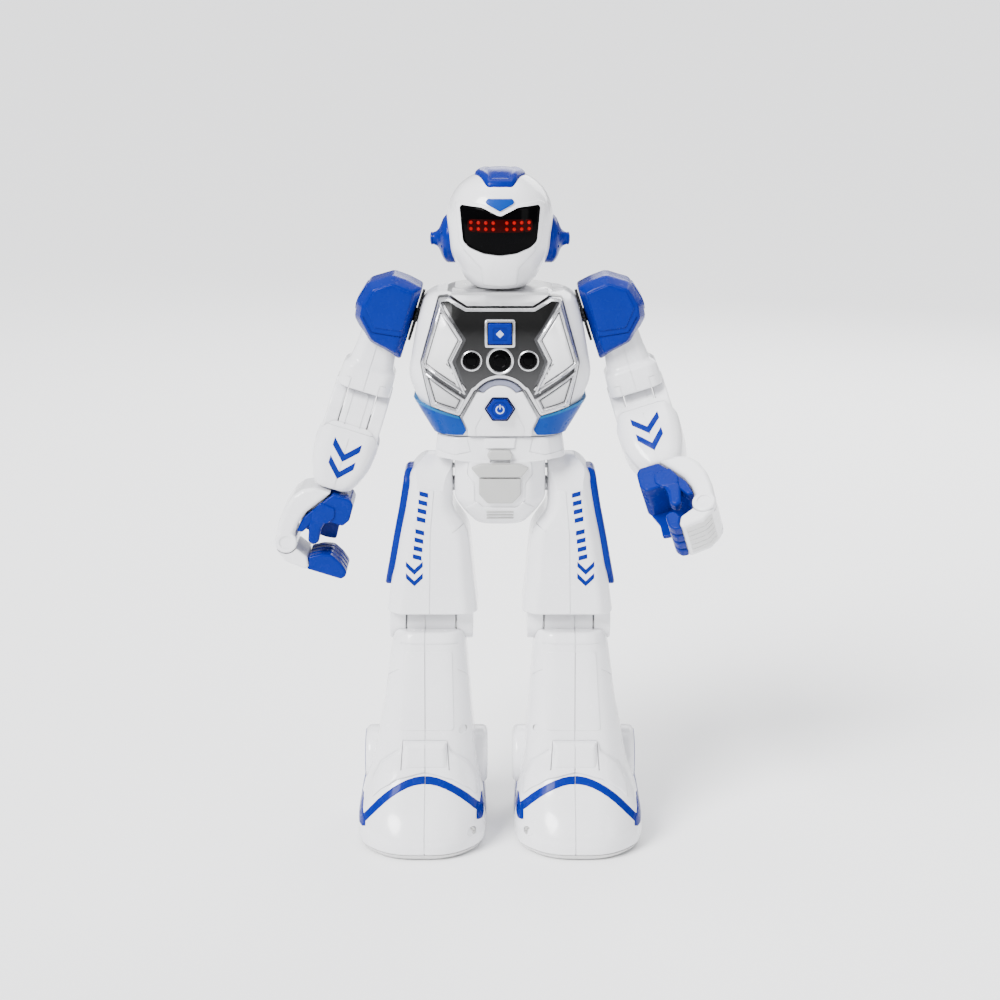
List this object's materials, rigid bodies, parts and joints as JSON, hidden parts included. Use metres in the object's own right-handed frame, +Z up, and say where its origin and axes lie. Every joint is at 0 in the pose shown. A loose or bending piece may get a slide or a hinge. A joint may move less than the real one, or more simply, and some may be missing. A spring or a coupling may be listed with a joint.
{
  "type": "walking humanoid robot",
  "caption": "Free-standing humanoid toy with a turning head, swinging arms, bending elbows, turning wrists, gripping hands and legs that walk on hidden rollers.",
  "frame": {"origin": "on the floor, midway between the two feet, below the neck axis", "axes": "+Z up, the robot faces -Y, its left side is +X"},
  "size_m": [0.1716, 0.0913, 0.265],
  "materials": {
    "shell_white": "gloss",
    "trim_blue": "gloss",
    "bright_blue": "gloss",
    "chest_silver": "satin",
    "panel_grey": "satin",
    "dark_grey": "matte",
    "lens_black": "gloss",
    "led_red": "matte",
    "steel": "brushed",
    "board_green": "satin",
    "cell_wrap": "satin",
    "rubber_grey": "matte"
  },
  "bodies": {
    "torso": {"torso_front": "shell_white", "torso_back": "shell_white", "battery_door": "shell_white", "chest_plate": "chest_silver", "neck_collar": "chest_silver", "chest_lenses": "lens_black", "belly_panel": "shell_white", "waist_wedges": "bright_blue", "pelvis_front": "shell_white", "pelvis_back": "shell_white", "pelvis_plates": "panel_grey", "battery_cells": "cell_wrap", "circuit_board": "board_green", "speaker": "dark_grey", "walk_motor": "steel", "gearbox": "dark_grey", "hip_pins": "steel", "shoulder_pins": "dark_grey", "body_screws": "steel"},
    "chest_button": {"chest_button": "trim_blue"},
    "power_button": {"power_button": "trim_blue"},
    "head": {"helmet_front": "shell_white", "helmet_back": "shell_white", "visor": "lens_black", "led_board": "led_red", "head_crest": "trim_blue", "forehead_gem": "bright_blue", "ear_caps": "trim_blue"},
    "right_upper_arm": {"right_shoulder_pad": "trim_blue", "right_upper_arm": "shell_white", "right_elbow_pin": "steel"},
    "right_forearm": {"right_forearm": "shell_white"},
    "right_hand": {"right_hand_shell": "shell_white", "right_palm": "trim_blue"},
    "right_fingers": {"right_finger_cover": "shell_white", "right_fingers": "trim_blue"},
    "right_thigh": {"right_thigh": "shell_white", "right_thigh_panel": "trim_blue", "right_knee_pin": "steel"},
    "right_link": {"right_link_rod": "steel"},
    "right_boot": {"right_boot_inner": "shell_white", "right_boot_outer": "shell_white", "right_sole": "panel_grey"},
    "right_rollers": {"right_rollers": "rubber_grey"},
    "left_upper_arm": {"left_shoulder_pad": "trim_blue", "left_upper_arm": "shell_white", "left_elbow_pin": "steel"},
    "left_forearm": {"left_forearm": "shell_white"},
    "left_hand": {"left_hand_shell": "shell_white", "left_palm": "trim_blue"},
    "left_fingers": {"left_finger_cover": "shell_white", "left_fingers": "trim_blue"},
    "left_thigh": {"left_thigh": "shell_white", "left_thigh_panel": "trim_blue", "left_knee_pin": "steel"},
    "left_link": {"left_link_rod": "steel"},
    "left_boot": {"left_boot_inner": "shell_white", "left_boot_outer": "shell_white", "left_sole": "panel_grey"},
    "left_rollers": {"left_rollers": "rubber_grey"}
  },
  "joints": [
    {"name": "head_turn", "type": "hinge", "parent": "torso", "child": "head", "pos_m": [0, 0, 0.22], "axis": [0, 0, 1], "range_deg": [-60, 60]},
    {"name": "chest_button_press", "type": "slide", "parent": "torso", "child": "chest_button", "axis": [0, 1, 0], "range_m": [0, 0.001], "stiffness_N_per_m": 300},
    {"name": "power_button_press", "type": "slide", "parent": "torso", "child": "power_button", "axis": [0, 1, 0], "range_m": [0, 0.001], "stiffness_N_per_m": 300},
    {"name": "right_shoulder_swing", "type": "hinge", "parent": "torso", "child": "right_upper_arm", "pos_m": [-0.0317, 0, 0.208], "axis": [-0.9537, 0, 0.3007], "range_deg": [-60, 90]},
    {"name": "right_elbow_bend", "type": "hinge", "parent": "right_upper_arm", "child": "right_forearm", "pos_m": [-0.0558, 0, 0.16947], "axis": [-0.9537, 0, 0.3007], "range_deg": [0, 90]},
    {"name": "right_wrist_turn", "type": "hinge", "parent": "right_forearm", "child": "right_hand", "pos_m": [-0.06513, 0, 0.1399], "axis": [0.3007, 0, 0.9537], "range_deg": [-90, 90]},
    {"name": "right_finger_curl", "type": "hinge", "parent": "right_hand", "child": "right_fingers", "pos_m": [-0.08318, 0, 0.12053], "axis": [0, 1, 0], "range_deg": [0, 25]},
    {"name": "left_shoulder_swing", "type": "hinge", "parent": "torso", "child": "left_upper_arm", "pos_m": [0.0317, 0, 0.208], "axis": [-0.9537, 0, -0.3007], "range_deg": [-60, 90]},
    {"name": "left_elbow_bend", "type": "hinge", "parent": "left_upper_arm", "child": "left_forearm", "pos_m": [0.0558, 0, 0.16947], "axis": [-0.9537, 0, -0.3007], "range_deg": [-50, 40]},
    {"name": "left_wrist_turn", "type": "hinge", "parent": "left_forearm", "child": "left_hand", "pos_m": [0.0618, -0.02375, 0.15046], "axis": [-0.1933, 0.766, 0.613], "range_deg": [-90, 90]},
    {"name": "left_finger_curl", "type": "hinge", "parent": "left_hand", "child": "left_fingers", "pos_m": [0.07729, -0.04206, 0.13924], "axis": [-0.2304, -0.6428, 0.7306], "range_deg": [0, 25]},
    {"name": "right_hip", "type": "hinge", "parent": "torso", "child": "right_thigh", "pos_m": [-0.0185, 0, 0.142], "axis": [1, 0, 0], "range_deg": [-15, 15]},
    {"name": "left_hip", "type": "hinge", "parent": "torso", "child": "left_thigh", "pos_m": [0.0185, 0, 0.142], "axis": [1, 0, 0], "range_deg": [-15, 15]},
    {"name": "right_knee", "type": "hinge", "parent": "right_thigh", "child": "right_boot", "pos_m": [-0.027, 0, 0.087], "axis": [1, 0, 0], "range_deg": [-15, 15]},
    {"name": "left_knee", "type": "hinge", "parent": "left_thigh", "child": "left_boot", "pos_m": [0.027, 0, 0.087], "axis": [1, 0, 0], "range_deg": [-15, 15]},
    {"name": "right_link_swing", "type": "hinge", "parent": "torso", "child": "right_link", "pos_m": [-0.028, 0, 0.149], "axis": [1, 0, 0], "range_deg": [-15, 15]},
    {"name": "left_link_swing", "type": "hinge", "parent": "torso", "child": "left_link", "pos_m": [0.028, 0, 0.149], "axis": [1, 0, 0], "range_deg": [-15, 15]},
    {"name": "right_roller_spin", "type": "hinge", "parent": "right_boot", "child": "right_rollers", "pos_m": [-0.031, 0.004, 0.005], "axis": [1, 0, 0], "continuous": true},
    {"name": "left_roller_spin", "type": "hinge", "parent": "left_boot", "child": "left_rollers", "pos_m": [0.031, 0.004, 0.005], "axis": [1, 0, 0], "continuous": true}
  ],
  "couplings": [
    {"joint": "left_hip", "follows": "right_hip", "ratio": -1},
    {"joint": "right_knee", "follows": "right_hip", "ratio": -1},
    {"joint": "left_knee", "follows": "right_hip", "ratio": 1},
    {"joint": "right_link_swing", "follows": "right_hip", "ratio": 1},
    {"joint": "left_link_swing", "follows": "right_hip", "ratio": -1}
  ]
}
